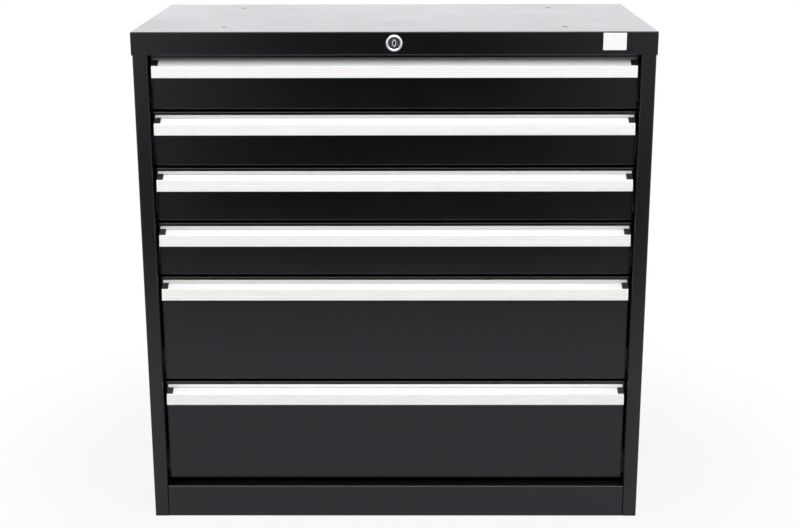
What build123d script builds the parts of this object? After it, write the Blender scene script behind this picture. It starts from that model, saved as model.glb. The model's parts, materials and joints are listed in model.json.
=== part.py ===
# Steel tool cabinet with six drawers on telescopic slides, aluminium grip rails
# across the drawer fronts and one central lock in the lid's front skirt.
# Millimetres. X is the width, Y runs from the front to the back and Z is up.
# The origin is on the floor, in the middle of the width and of the depth.

from build123d import *
import math
import os

# Overall size. The height follows from the base, the drawers and the lid.
width = 900.0
depth = 460.0
base_height = 60.0
small_module = 100.0
large_module = 200.0
small_drawers = 4
large_drawers = 2
lid_skirt = 40.0

# Sheet metal
lid_sheet = 1.2
body_sheet = 1.2
front_sheet = 1.2
tray_sheet = 1.0
bend_radius = 2.0
bend_bevel = 0.8
front_bend_radius = 1.2
lid_bend_radius = 1.5
lid_fit = 0.3
seat_gap = 0.3
lid_return = 12.0
lid_return_radius = 2.0

# Holes in the lid for bolting a worktop on
worktop_hole_radius = 4.5
worktop_spacing_x = 596.0
worktop_spacing_y = 316.0

# Folded posts and flanges of the side panels
post_face = 25.0
post_return = 25.0
rear_flange = 20.0

# Base
plinth_top_return = 26.0
plinth_bottom_return = 15.0
plinth_end_gap = 1.2
base_flange = 20.0

# Front rail behind the lid's skirt
rail_depth = 39.0
rail_lip = 6.0
rail_top_flange = 15.0

# Drawer fronts
front_recess = 25.0
front_side_gap = 1.7
front_top_gap = 1.7
front_bottom_gap = 3.3
lowest_front_gap = 6.6
front_return = 6.3

# Drawer trays
tray_depth = 405.0
tray_rise = 8.0
tray_top_gap = 12.0
tray_hem_height = 8.0
tray_hem_bevel = 0.5

# Aluminium grip rail on each front
handle_inset = 4.6
handle_top_gap = 7.3
handle_height = 31.8
grip_height = 19.5
grip_lean = 1.3
grip_wall = 1.8
grip_edge = 2.6
band_run = 5.6
band_drop = 2.8
channel_inset = 1.6
lip_length = 1.2
lip_thickness = 0.6
lip_undercut = 0.6
channel_depth = 1.8
channel_wall = 1.6
mount_flange_thickness = 1.6
mount_flange_height = 23.0
groove_count = 4
groove_pitch = 3.9
groove_width = 0.9
groove_depth = 0.5

# Black plugs that close the ends of the label channel
end_cap_length = 10.4
end_cap_fit = 0.1
end_cap_stand = 0.4

# Telescopic slides
slide_outset = 1.0
slide_depth = 12.7
slide_height = 45.0
slide_rise = 13.0
slide_length = 400.0
slide_sheet = 1.2
slide_front_gap = 5.2
slide_side_play = 0.3
ball_diameter = 4.0
outer_lip = 1.5

# Slotted uprights that the slides hook into
upright_width = 30.0
upright_setback = 4.0
upright_rear_margin = 8.0
upright_top_gap = 2.0
slot_pitch = 50.0
slot_width = 4.0
slot_height = 14.0
hook_thickness = 2.4
hook_height = 10.0
hook_reach = 2.0

# Lock barrel and plug
lock_drop = 19.5
ring_diameter = 28.0
ring_thickness = 1.5
ring_crest_diameter = 23.6
ring_crest_width = 0.4
ring_edge_drop = 1.2
barrel_diameter = 22.6
barrel_length = 24.2
barrel_hole_fit = 0.2
face_diameter = 19.6
face_recess = 2.0
plug_diameter = 16.0
plug_play = 0.3
plug_head = 0.9
key_oval_width = 7.0
key_oval_height = 12.0
key_oval_stand = 0.5
key_slot_width = 2.4
key_slot_height = 9.0
key_slot_depth = 14.0
nut_across_flats = 28.0
nut_thickness = 5.0

# Lock mechanism: cam, sliding link and vertical bar
lock_stroke = 12.0
cam_thickness = 2.0
cam_hub_radius = 7.0
cam_tip_radius = 4.5
stud_diameter = 4.0
stud_slot_play = 0.4
screw_head_radius = 3.6
screw_head_height = 2.4
screw_shank_radius = 2.0
screw_reach = 5.0
thread_gap = 0.1
link_sheet = 2.0
link_height = 12.0
link_gap = 3.5
link_end_margin = 6.0
bar_sheet = 2.0
bar_width = 18.0
bar_outset = 2.3
bar_tail = 10.0
ear_reach = 2.7
ear_height = 12.0
ear_lift = 2.0
catch_thickness = 2.0
catch_height = 12.0
catch_play = 1.5
catch_margin = 2.5
pin_diameter = 5.0
pin_inset = 0.9
pin_slot_play = 0.3
guide_height = 14.0
guide_wall = 2.5
guide_play = 0.3
link_guide_width = 12.0
link_guide_inset = 66.6
link_guide_spacing = 240.0
bar_guide_places = (235.0, 535.0, 835.0)

# Planes and edges that follow from the sizes above
modules = [small_module] * small_drawers + [large_module] * large_drawers
opening_top = base_height + sum(modules)
height = opening_top + lid_skirt
lid_front = -depth / 2 + ring_thickness
lid_back = depth / 2
lid_underside = height - lid_sheet
body_half = width / 2 - lid_sheet - lid_fit
body_front = lid_front + lid_sheet + lid_fit
body_back = lid_back - lid_sheet - lid_fit
wall_inside = body_half - body_sheet
opening_half = body_half - post_face
rail_half = opening_half - seat_gap
front_face = lid_front + front_recess
front_half = opening_half - front_side_gap
slide_plane = opening_half + slide_outset
tray_half = slide_plane - slide_depth
slide_front = front_face + front_return + slide_front_gap
base_top = base_height - body_sheet
rail_bottom = opening_top + lid_sheet + seat_gap
lock_height = height - lock_drop
barrel_back = lid_front + barrel_length
cam_front = barrel_back + plug_play
cam_back = cam_front + cam_thickness
link_front = cam_back + link_gap
link_back = link_front + link_sheet
cam_radius = lock_stroke / (2 * math.sin(math.radians(45)))
bar_front = slide_front + upright_setback + upright_width + guide_wall + guide_play
bar_back = bar_front + bar_width
bar_inside = slide_plane + bar_outset
bar_outside = bar_inside + bar_sheet
ear_front = bar_back - bar_sheet
catch_front = bar_back + catch_play
ear_rise = slide_rise + slide_height + ear_lift
catch_rise = ear_rise + ear_height + ear_lift


def block(low, high):
    """Block between its lowest and its highest corner."""
    size = [b - a for a, b in zip(low, high)]
    middle = [(a + b) / 2 for a, b in zip(low, high)]
    return Pos(*middle) * Box(*size)


def along_x(face, start, end):
    """Section drawn in Y and Z, carried along X."""
    plane = Plane(origin=(start, 0, 0), x_dir=(0, 1, 0), z_dir=(1, 0, 0))
    return extrude(plane * face, end - start)


def along_y(face, start, end):
    """Section drawn in X and Z, carried along Y."""
    plane = Plane(origin=(0, end, 0), x_dir=(1, 0, 0), z_dir=(0, -1, 0))
    return extrude(plane * face, end - start)


def along_z(face, start, end):
    """Section drawn in X and Y, carried along Z."""
    return extrude(Plane.XY.offset(start) * face, end - start)


def rod(radius, x, z, start, end):
    """Round bar along Y."""
    return along_y(Pos(x, z) * Circle(radius), start, end)


def right_of(left_solid):
    """The same piece for the right-hand side."""
    return mirror(left_solid, about=Plane.YZ)


def rounded_outline(corners):
    """Closed face through corners (u, v, radius). A radius of 0 is sharp."""
    points = [(u, v) for u, v, radius in corners]
    radii = [radius for u, v, radius in corners]
    return make_face(FilletPolyline(*points, radius=radii, close=True))


def bevelled(points, index, cut):
    """Two points that cut a corner of an outline off by the given length."""
    corner = Vector(*points[index])
    before = Vector(*points[index - 1]) - corner
    after = Vector(*points[index + 1]) - corner
    near = corner + before.normalized() * cut
    far = corner + after.normalized() * cut
    return [(near.X, near.Y, 0), (far.X, far.Y, 0)]


def folded_section(points, sheet, radius, bevel=False):
    """Section of a folded sheet that lies to the left of the given points.

    The outside of each bend is rounded, or bevelled on small rolled members.
    """
    path = [Vector(*point) for point in points]
    runs = [(b - a).normalized() for a, b in zip(path, path[1:])]
    normals = [Vector(-run.Y, run.X) for run in runs]
    shifts = [normals[0] * sheet]
    for before, after in zip(normals, normals[1:]):
        shifts.append((before + after) * (sheet / (1 + before.dot(after))))
    shifts.append(normals[-1] * sheet)
    back = [point + shift for point, shift in zip(path, shifts)]
    given = [(point.X, point.Y) for point in path]
    offset = [(point.X, point.Y) for point in back]
    outlines = []
    for line, side in ((given, 1), (offset, -1)):
        corners = [(*line[0], 0)]
        for index in range(1, len(line) - 1):
            outside = side * runs[index - 1].cross(runs[index]).Z > 0
            if outside and bevel:
                corners += bevelled(line, index, radius)
            else:
                corners += [(*line[index], radius if outside else 0)]
        corners += [(*line[-1], 0)]
        outlines.append(corners)
    return rounded_outline(outlines[0] + outlines[1][::-1])


def rounded_box(low, high, radius, open_axis, open_end):
    """Box whose closed face, opposite its open side, has a rounded rim."""
    box = block(low, high)
    faces = box.faces().sort_by((Axis.X, Axis.Y, Axis.Z)[open_axis])
    closed = faces[0] if open_end > 0 else faces[-1]
    return fillet(closed.edges(), radius)


def pan(low, high, sheet, radius, open_axis, open_end):
    """Box folded from sheet and open on one side, its bends rounded outside."""
    inner_low = [value + sheet for value in low]
    inner_high = [value - sheet for value in high]
    if open_end > 0:
        inner_high[open_axis] = high[open_axis] + sheet
    else:
        inner_low[open_axis] = low[open_axis] - sheet
    return rounded_box(low, high, radius, open_axis, open_end) - block(inner_low, inner_high)


# Lid and body

def top_cap():
    """Folded lid with a skirt on four sides and a return under its front."""
    low = (-width / 2, lid_front, opening_top)
    high = (width / 2, lid_back, height)
    lid = pan(low, high, lid_sheet, lid_bend_radius, 2, -1)
    lid += block(
        (-rail_half, lid_front + lid_sheet / 2, opening_top),
        (rail_half, lid_front + lid_return, opening_top + lid_sheet),
    )
    size = lid_return_radius
    corner = Pos(lid_front, opening_top) * Rectangle(size, size, align=Align.MIN)
    corner -= Pos(lid_front + size, opening_top + size) * Circle(size)
    lid -= along_x(corner, -rail_half, rail_half)
    middle = (lid_front + lid_back) / 2
    for x in (-worktop_spacing_x / 2, worktop_spacing_x / 2):
        for y in (middle - worktop_spacing_y / 2, middle + worktop_spacing_y / 2):
            hole = Pos(x, y) * Circle(worktop_hole_radius)
            lid -= along_z(hole, lid_underside - lid_sheet, height + lid_sheet)
    radius = barrel_diameter / 2 + barrel_hole_fit
    return lid - rod(radius, 0, lock_height, lid_front - lid_sheet, body_front)


def side_panel_left():
    """Side wall folded round into the front post and the rear flange."""
    outline = [
        (-body_half + rear_flange, body_back),
        (-body_half, body_back),
        (-body_half, body_front),
        (-opening_half, body_front),
        (-opening_half, body_front + post_return),
    ]
    return along_z(folded_section(outline, body_sheet, bend_radius), 0, lid_underside)


def back_panel():
    """Back plate behind the rear flanges, folded forward at its top edge."""
    inner = body_back - body_sheet
    outline = [
        (inner, 0),
        (inner, lid_underside),
        (inner - rear_flange, lid_underside),
    ]
    section = folded_section(outline, body_sheet, bend_radius)
    half = wall_inside - seat_gap
    return along_x(section, -half, half)


def base_pan():
    """Floor of the cabinet, folded down at both sides, notched round the posts."""
    outline = [
        (-wall_inside, base_top - base_flange),
        (-wall_inside, base_top),
        (wall_inside, base_top),
        (wall_inside, base_top - base_flange),
    ]
    section = folded_section(outline[::-1], body_sheet, bend_radius)
    floor = along_y(section, body_front + body_sheet, body_back - 2 * body_sheet)
    notch_back = body_front + post_return + seat_gap
    for side in (-1, 1):
        inside, outside = sorted((side * rail_half, side * width / 2))
        floor -= block((inside, body_front, 0), (outside, notch_back, base_height))
    return floor


def plinth_front():
    """Front plinth between the posts, folded back at its top and its foot."""
    outline = [
        (body_front + plinth_bottom_return, 0),
        (body_front, 0),
        (body_front, base_height),
        (body_front + plinth_top_return, base_height),
    ]
    section = folded_section(outline[::-1], body_sheet, bend_radius)
    half = opening_half - plinth_end_gap
    return along_x(section, -half, half)


def top_rail_front():
    """Channel behind the lid's skirt that carries the lock and its link."""
    outline = [
        (body_front + rail_top_flange, lid_underside),
        (body_front, lid_underside),
        (body_front, rail_bottom),
        (body_front + rail_depth, rail_bottom),
        (body_front + rail_depth, rail_bottom + rail_lip),
    ]
    section = folded_section(outline, body_sheet, bend_bevel, bevel=True)
    rail = along_x(section, -rail_half, rail_half)
    radius = barrel_diameter / 2 + barrel_hole_fit
    back = body_front + 2 * body_sheet
    return rail - rod(radius, 0, lock_height, body_front - body_sheet, back)


# Slotted uprights and slides

def upright_left(front):
    """Channel with hook slots, its flanges against the side wall."""
    outline = [
        (-wall_inside, front + upright_width),
        (-slide_plane, front + upright_width),
        (-slide_plane, front),
        (-wall_inside, front),
    ]
    section = folded_section(outline[::-1], body_sheet, bend_bevel, bevel=True)
    top = opening_top - upright_top_gap
    post = along_z(section, base_top, top)
    middle = front + upright_width / 2
    for z in slot_heights():
        post -= block(
            (-slide_plane - 2 * body_sheet, middle - slot_width / 2, z - slot_height / 2),
            (-slide_plane + body_sheet, middle + slot_width / 2, z + slot_height / 2),
        )
    return post


def slot_heights():
    """Middle heights of the slots, one pitch apart from the lowest slide up."""
    lowest = base_height + slide_rise + slide_height / 2
    count = int((opening_top - lowest - slot_height) // slot_pitch) + 1
    return [lowest + slot_pitch * index for index in range(count)]


def upright_fronts():
    """Front edges of the front and the rear uprights."""
    front = slide_front + upright_setback
    rear = slide_front + slide_length - upright_rear_margin - upright_width
    return front, rear


def outer_section():
    """Cabinet member: a channel with lips that keep the balls in."""
    half = slide_height / 2
    end = slide_depth - slide_side_play - slide_sheet
    outline = [
        (end, half - slide_sheet - outer_lip),
        (end, half),
        (0, half),
        (0, -half),
        (end, -half),
        (end, -half + slide_sheet + outer_lip),
    ]
    return folded_section(outline, slide_sheet, bend_bevel, bevel=True)


def mid_section():
    """Middle member: a channel that runs between two pairs of ball rows."""
    half = slide_height / 2 - slide_sheet - ball_diameter
    start = slide_sheet + slide_side_play
    end = slide_depth - slide_side_play
    outline = [(end, half), (start, half), (start, -half), (end, -half)]
    return folded_section(outline, slide_sheet, bend_bevel, bevel=True)


def inner_section():
    """Drawer member: a channel on the tray's wall, inside the middle one."""
    half = slide_height / 2 - 2 * slide_sheet - 2 * ball_diameter
    start = 2 * slide_sheet + 2 * slide_side_play
    outline = [
        (start, -half),
        (slide_depth, -half),
        (slide_depth, half),
        (start, half),
    ]
    return folded_section(outline, slide_sheet, bend_bevel, bevel=True)


def slide_left(section, module_bottom):
    """One left-hand slide member at a drawer's height."""
    member = along_y(section, slide_front, slide_front + slide_length)
    middle = module_bottom + slide_rise + slide_height / 2
    return Pos(-slide_plane, 0, middle) * member


def outer_slide_left(module_bottom):
    """Cabinet member with the hooks that hang it in the uprights' slots."""
    member = slide_left(outer_section(), module_bottom)
    middle = module_bottom + slide_rise + slide_height / 2
    for front in upright_fronts():
        y = front + upright_width / 2
        member += block(
            (-slide_plane - body_sheet - hook_reach, y - hook_thickness / 2, middle - hook_height / 2),
            (-slide_plane + slide_sheet / 2, y + hook_thickness / 2, middle + hook_height / 2),
        )
    return member


# Drawers

def tray_wall(wall_height):
    """Section of a hemmed wall, as distance in from its outside and height."""
    hem_foot = wall_height - tray_hem_height
    corners = [
        (0, 0),
        (tray_sheet, 0),
        (tray_sheet, hem_foot),
        (2 * tray_sheet, hem_foot),
        (2 * tray_sheet, wall_height - tray_hem_bevel),
        (2 * tray_sheet - tray_hem_bevel, wall_height),
        (tray_hem_bevel, wall_height),
        (0, wall_height - tray_hem_bevel),
    ]
    return make_face(Polyline(*corners, close=True))


def tray(module_bottom, module_height):
    """Open tray, with the catch plate that the lock bar holds.

    It is welded up from a floor, four hemmed walls and the catch.
    """
    front = front_face + front_sheet
    back = front + tray_depth
    bottom = module_bottom + tray_rise
    wall = tray_wall(module_height - tray_top_gap - tray_rise)
    left = Pos(-tray_half, 0, bottom) * along_y(wall, front, back)
    right = right_of(left)
    inside = tray_half - tray_sheet
    front_wall = Pos(0, front, bottom) * along_x(wall, -inside, inside) - left - right
    back_wall = mirror(front_wall, Plane.XZ.offset(-(front + back) / 2))
    floor = block(
        (-inside, front + tray_sheet, bottom),
        (inside, back - tray_sheet, bottom + tray_sheet),
    )
    catch_bottom = module_bottom + catch_rise
    catch = block(
        (tray_half, catch_front, catch_bottom),
        (slide_plane - catch_margin, catch_front + catch_thickness, catch_bottom + catch_height),
    )
    return Compound(children=[left, right, front_wall, back_wall, floor, catch])


def drawer_front(module_bottom, module_height, bottom_gap):
    """Front panel folded back on four sides, set back behind the posts."""
    low = (-front_half, front_face, module_bottom + bottom_gap)
    high = (front_half, front_face + front_return, module_bottom + module_height - front_top_gap)
    return pan(low, high, front_sheet, front_bend_radius, 1, 1)


def channel_point(along, out):
    """Point in the grip rail's section, measured in its sloping channel."""
    top = Vector(band_run, handle_height - band_drop)
    foot = Vector(handle_reach() - grip_lean - channel_inset, grip_height + lip_thickness)
    run = (foot - top).normalized()
    normal = Vector(-run.Y, run.X)
    point = top + run * along + normal * out
    return point.X, point.Y


def channel_span():
    """Length of the sloping channel between its two lips' roots."""
    top = Vector(*channel_point(0, 0))
    foot = Vector(handle_reach() - grip_lean - channel_inset, grip_height + lip_thickness)
    return (foot - top).length


def handle_reach():
    """How far the grip rail stands out: flush with the posts."""
    return front_face - body_front


def handle_section():
    """Grip rail's section, as distance out from the front and height."""
    reach = handle_reach()
    span = channel_span()
    under = channel_depth + channel_wall
    flange_foot = handle_height - mount_flange_height
    corners = [(0, handle_height, 0)]
    corners += [(*channel_point(lip_length, 0), 0)]
    corners += [(*channel_point(lip_length, -lip_thickness), 0)]
    corners += [(*channel_point(-lip_undercut, -lip_thickness), 0)]
    corners += [(*channel_point(-lip_undercut, -channel_depth), 0)]
    corners += [(*channel_point(span + lip_undercut, -channel_depth), 0)]
    corners += [(*channel_point(span + lip_undercut, -lip_thickness), 0)]
    corners += [(*channel_point(span - lip_length, -lip_thickness), 0)]
    corners += [(*channel_point(span - lip_length, 0), 0)]
    corners += [(reach - grip_lean, grip_height, 0.8)]
    for index in range(groove_count, 0, -1):
        middle = groove_pitch * index
        top, foot = middle + groove_width / 2, middle - groove_width / 2
        lean_top = reach - grip_lean * top / grip_height
        lean_foot = reach - grip_lean * foot / grip_height
        corners += [(lean_top, top, 0)]
        corners += [((lean_top + lean_foot) / 2 - groove_depth, middle, 0)]
        corners += [(lean_foot, foot, 0)]
    corners += [(reach, 0, 0.8)]
    corners += [(reach - grip_edge, 0, 0.6)]
    corners += [(reach - grip_edge, grip_wall, 0)]
    corners += [(reach - grip_lean - grip_wall, grip_height - 2 * grip_wall, 0)]
    corners += [(*channel_point(span - grip_wall / 2, -under), 0)]
    inner_back = channel_point(0, -under)
    corners += [(*inner_back, 0)]
    corners += [(mount_flange_thickness, inner_back[1], 0)]
    corners += [(mount_flange_thickness, flange_foot, 0)]
    corners += [(0, flange_foot, 0)]
    return rounded_outline(corners)


def on_front(face, module_top):
    """Grip rail section turned to face forward at its place on the front."""
    foot = module_top - handle_top_gap - handle_height
    return Pos(front_face, foot) * mirror(face, about=Plane.YZ)


def handle(module_top):
    """Grip rail over the full width of the front."""
    half = front_half - handle_inset
    return along_x(on_front(handle_section(), module_top), -half, half)


def end_cap_section():
    """Section of the plug that slides into the label channel."""
    span = channel_span()
    fit = end_cap_fit
    corners = [
        (*channel_point(-lip_undercut + fit, -channel_depth + fit), 0),
        (*channel_point(span + lip_undercut - fit, -channel_depth + fit), 0),
        (*channel_point(span + lip_undercut - fit, -lip_thickness - fit), 0),
        (*channel_point(span - lip_length - fit, -lip_thickness - fit), 0),
        (*channel_point(span - lip_length - fit, end_cap_stand), 0),
        (*channel_point(lip_length + fit, end_cap_stand), 0),
        (*channel_point(lip_length + fit, -lip_thickness - fit), 0),
        (*channel_point(-lip_undercut + fit, -lip_thickness - fit), 0),
    ]
    return rounded_outline(corners)


def end_caps(module_top):
    """The two plugs of one grip rail, as separate solids."""
    half = front_half - handle_inset
    section = on_front(end_cap_section(), module_top)
    left = along_x(section, -half, -half + end_cap_length)
    return Compound(children=[left, right_of(left)])


# Lock

def lock_barrel():
    """Chromed housing with a ring in front and a bore for the plug."""
    face = lid_front - ring_thickness
    crest = (ring_crest_diameter - ring_crest_width) / 2
    profile = Polyline(
        (plug_diameter / 2 + plug_play, barrel_back),
        (barrel_diameter / 2, barrel_back),
        (barrel_diameter / 2, lid_front),
        (ring_diameter / 2, lid_front),
        (crest + ring_crest_width, face),
        (crest, face),
        (face_diameter / 2, face + ring_edge_drop),
        (face_diameter / 2, face + face_recess),
        (plug_diameter / 2 + plug_play, face + face_recess),
        close=True,
    )
    return Pos(0, 0, lock_height) * revolve(make_face(profile), Axis.Y)


def lock_plug():
    """Turning plug with a dark face, an oval key entry and its slot."""
    floor = lid_front - ring_thickness + face_recess
    head_back = floor - plug_play
    head_front = head_back - plug_head
    plug = rod(face_diameter / 2 - plug_play, 0, lock_height, head_front, head_back)
    plug += rod(plug_diameter / 2, 0, lock_height, head_back, cam_front)
    oval = Ellipse(key_oval_width / 2, key_oval_height / 2)
    oval_front = head_front - key_oval_stand
    plug += along_y(Pos(0, lock_height) * oval, oval_front, head_back)
    slot = Rectangle(key_slot_width, key_slot_height)
    plug -= along_y(Pos(0, lock_height) * slot, oval_front, oval_front + key_slot_depth)
    tapping = screw_shank_radius + thread_gap
    return plug - rod(tapping, 0, lock_height, cam_front - screw_reach, cam_front)


def lock_nut():
    """Hexagonal nut that clamps the barrel to the front rail."""
    hexagon = RegularPolygon(nut_across_flats / 2, 6, major_radius=False)
    front = body_front + body_sheet
    nut = along_y(Pos(0, lock_height) * hexagon, front, front + nut_thickness)
    bore = barrel_diameter / 2 + barrel_hole_fit
    return nut - rod(bore, 0, lock_height, front, front + nut_thickness)


def cam_stud_place():
    """Place of the cam's stud when the lock is open."""
    offset = lock_stroke / 2
    return offset, lock_height - offset


def lock_cam():
    """Arm on the plug's end whose stud drives the link."""
    x, z = cam_stud_place()
    hub = Pos(0, lock_height) * Circle(cam_hub_radius)
    tip = Pos(x, z) * Circle(cam_tip_radius)
    arm = along_y(make_hull(hub.edges() + tip.edges()), cam_front, cam_back)
    arm += rod(stud_diameter / 2, x, z, cam_back, link_back + link_sheet)
    return arm - rod(screw_shank_radius + thread_gap, 0, lock_height, cam_front, cam_back)


def lock_cam_screw():
    """Screw that holds the cam on the plug."""
    head = rod(screw_head_radius, 0, lock_height, cam_back, cam_back + screw_head_height)
    return head + rod(screw_shank_radius, 0, lock_height, cam_front - screw_reach + thread_gap, cam_back)


def bar_pin_place():
    """Place of the bar's pin when the lock is open."""
    return slide_plane - pin_inset - pin_diameter / 4, lock_height - link_gap


def lock_link():
    """Strip that turns the cam's swing into the bar's lift."""
    stud_x, stud_z = cam_stud_place()
    pin_x, pin_z = bar_pin_place()
    bottom = rail_bottom + body_sheet + guide_wall + guide_play
    stud_room = stud_diameter / 2 + stud_slot_play
    pin_room = pin_diameter / 2 + pin_slot_play
    strip = block(
        (stud_x - stud_room - link_end_margin, link_front, bottom),
        (pin_x + link_end_margin, link_back, bottom + link_height),
    )
    plate_end = pin_x + lock_stroke + pin_room + link_end_margin / 2
    plate_top = pin_z + lock_stroke + pin_room + link_end_margin / 2
    strip += block(
        (pin_x - pin_room - link_end_margin, link_front, bottom),
        (plate_end, link_back, plate_top),
    )
    stud_drop = cam_radius - lock_stroke / 2
    strip -= block(
        (stud_x - stud_room, link_front, stud_z - stud_drop - stud_room),
        (stud_x + stud_room, link_back, stud_z + stud_room),
    )
    ramp = SlotCenterToCenter(lock_stroke * math.sqrt(2), 2 * pin_room, rotation=45)
    middle = Pos(pin_x + lock_stroke / 2, pin_z + lock_stroke / 2)
    return strip - along_y(middle * ramp, link_front, link_back)


def lock_bar():
    """Vertical bar with an arm at its top and an ear for each drawer, all welded on."""
    arm_front = link_back + link_gap
    pin_x, pin_z = bar_pin_place()
    arm_bottom = pin_z - link_height / 2
    arm_top = pin_z + link_height / 2
    foot = base_height + ear_rise - bar_tail
    bar = block((bar_inside, bar_front, foot), (bar_outside, bar_back, arm_top))
    arm = block((bar_inside, arm_front, arm_bottom), (bar_outside, bar_front, arm_top))
    foot_of_pin = block(
        (pin_x - pin_diameter, arm_front, arm_bottom),
        (bar_inside, arm_front + bar_sheet, arm_top),
    )
    ears = []
    for bottom in module_bottoms():
        ear = bottom + ear_rise
        low = (tray_half + ear_reach, ear_front, ear)
        ears.append(block(low, (bar_inside, bar_back, ear + ear_height)))
    return Compound(children=[bar, arm, foot_of_pin, *ears])


def lock_bar_pin():
    """Pin welded to the bar's arm that runs in the link's ramp."""
    x, z = bar_pin_place()
    return rod(pin_diameter / 2, x, z, link_front - link_sheet, link_back + link_gap)


def lock_bar_guides():
    """Blocks on the side wall that the bar slides up and down in."""
    near, far = bar_front - guide_play, bar_back + guide_play
    inside = bar_inside - guide_play
    outside = bar_outside + guide_play
    section = [
        (wall_inside, near - guide_wall, 0),
        (wall_inside, far + guide_wall, 0),
        (outside, far + guide_wall, 0),
        (outside, near, 0),
        (inside, near, 0),
        (inside, near + guide_wall, 0),
        (inside - guide_play, near + guide_wall, 0),
        (inside - guide_play, near - guide_wall, 0),
    ]
    face = rounded_outline(section)
    guides = []
    for place in bar_guide_places:
        guides.append(along_z(face, place - guide_height / 2, place + guide_height / 2))
    return Compound(children=guides)


def lock_link_guides():
    """Blocks on the front rail that the link slides through."""
    seat = rail_bottom + body_sheet
    near, far = link_front - guide_play, link_back + guide_play
    guides = []
    for place in (0, link_guide_spacing):
        middle = rail_half - link_guide_inset - place
        start, end = middle - link_guide_width / 2, middle + link_guide_width / 2
        guide = block((start, near - guide_wall, seat), (end, far + guide_wall, seat + guide_height))
        guide -= block((start, near, seat + guide_wall), (end, far, seat + guide_height))
        guides.append(guide)
    return Compound(children=guides)


def module_bottoms():
    """Heights of the drawers' lower module lines, from the top one down."""
    return [opening_top - sum(modules[: index + 1]) for index in range(len(modules))]


def build_nodes():
    """Every piece of the cabinet by name."""
    left_side = side_panel_left()
    front_upright, rear_upright = (upright_left(front) for front in upright_fronts())
    left_slides = [outer_slide_left(bottom) for bottom in module_bottoms()]
    nodes = {
        "top_cap": top_cap(),
        "side_panel_left": left_side,
        "side_panel_right": right_of(left_side),
        "back_panel": back_panel(),
        "base_pan": base_pan(),
        "plinth_front": plinth_front(),
        "top_rail_front": top_rail_front(),
        "upright_left_front": front_upright,
        "upright_left_rear": rear_upright,
        "upright_right_front": right_of(front_upright),
        "upright_right_rear": right_of(rear_upright),
        "slide_outer_left": Compound(children=left_slides),
        "slide_outer_right": Compound(children=[right_of(slide) for slide in left_slides]),
        "lock_barrel": lock_barrel(),
        "lock_nut": lock_nut(),
        "lock_plug": lock_plug(),
        "lock_cam": lock_cam(),
        "lock_cam_screw": lock_cam_screw(),
        "lock_link": lock_link(),
        "lock_bar": lock_bar(),
        "lock_bar_pin": lock_bar_pin(),
        "lock_bar_guides": lock_bar_guides(),
        "lock_link_guides": lock_link_guides(),
    }
    for index, bottom in enumerate(module_bottoms()):
        name = f"drawer_{index + 1}"
        module = modules[index]
        lowest = index == len(modules) - 1
        bottom_gap = lowest_front_gap if lowest else front_bottom_gap
        mid = slide_left(mid_section(), bottom)
        inner = slide_left(inner_section(), bottom)
        nodes[f"{name}_tray"] = tray(bottom, module)
        nodes[f"{name}_front"] = drawer_front(bottom, module, bottom_gap)
        nodes[f"{name}_handle"] = handle(bottom + module)
        nodes[f"{name}_end_caps"] = end_caps(bottom + module)
        nodes[f"{name}_slide_inner"] = Compound(children=[inner, right_of(inner)])
        nodes[f"{name}_slide_mid"] = Compound(children=[mid, right_of(mid)])
    return nodes


os.makedirs("parts", exist_ok=True)
for node_name, piece in build_nodes().items():
    export_step(piece, f"parts/{node_name}.step")
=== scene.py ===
"""Finishes, small pieces and stage for a steel tool cabinet with six drawers.

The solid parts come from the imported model. This file gives each of them its
real finish, adds the thin pieces that are not in the solids, and sets the
floor, the light and the camera. Lengths are in metres unless a name or a
comment says mm.
"""

import json
import math

import bmesh
import bpy
from mathutils import Matrix, Vector


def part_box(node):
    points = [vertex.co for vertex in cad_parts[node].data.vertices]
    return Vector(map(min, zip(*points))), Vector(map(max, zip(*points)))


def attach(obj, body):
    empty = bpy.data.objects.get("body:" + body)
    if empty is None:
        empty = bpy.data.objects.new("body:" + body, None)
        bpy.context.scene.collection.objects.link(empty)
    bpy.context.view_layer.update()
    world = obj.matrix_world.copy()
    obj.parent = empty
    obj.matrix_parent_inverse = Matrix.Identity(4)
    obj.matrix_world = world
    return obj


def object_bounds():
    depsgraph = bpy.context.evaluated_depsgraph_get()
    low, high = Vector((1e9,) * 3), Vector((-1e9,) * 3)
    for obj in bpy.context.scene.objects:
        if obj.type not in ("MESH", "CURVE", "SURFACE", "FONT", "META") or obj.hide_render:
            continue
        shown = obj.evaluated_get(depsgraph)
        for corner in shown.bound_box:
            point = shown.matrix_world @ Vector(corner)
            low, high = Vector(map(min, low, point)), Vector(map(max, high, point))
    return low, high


bl_info = {
    "name": "Steel tool cabinet",
    "version": (1, 0, 0),
    "blender": (4, 5, 0),
    "location": "3D View > Sidebar > Cabinet",
    "description": "Dresses a six-drawer steel tool cabinet",
    "category": "Object",
}

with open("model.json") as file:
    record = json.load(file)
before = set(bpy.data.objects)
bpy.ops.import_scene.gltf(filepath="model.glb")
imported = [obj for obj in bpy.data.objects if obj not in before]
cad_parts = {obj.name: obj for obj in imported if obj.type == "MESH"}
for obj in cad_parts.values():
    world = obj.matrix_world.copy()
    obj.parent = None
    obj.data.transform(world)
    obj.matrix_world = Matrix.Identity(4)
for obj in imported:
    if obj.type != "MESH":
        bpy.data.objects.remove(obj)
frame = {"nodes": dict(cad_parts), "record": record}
CAD_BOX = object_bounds()
RECORD = frame["record"]
DRAWERS = [f"drawer_{number}" for number in range(1, 7)]
MM = 0.001

# Label channel of a grip rail in mm: its upper end is out from the front and up
# from the rail's foot, its run is the slope's direction outwards and downwards.
CHANNEL_TOP = (5.6, 29.0)
CHANNEL_RUN = (0.86, 0.5103)
CHANNEL_SPAN = 17.44
CHANNEL_DEPTH = 1.8
PLUG_LENGTH = 10.4

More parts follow.
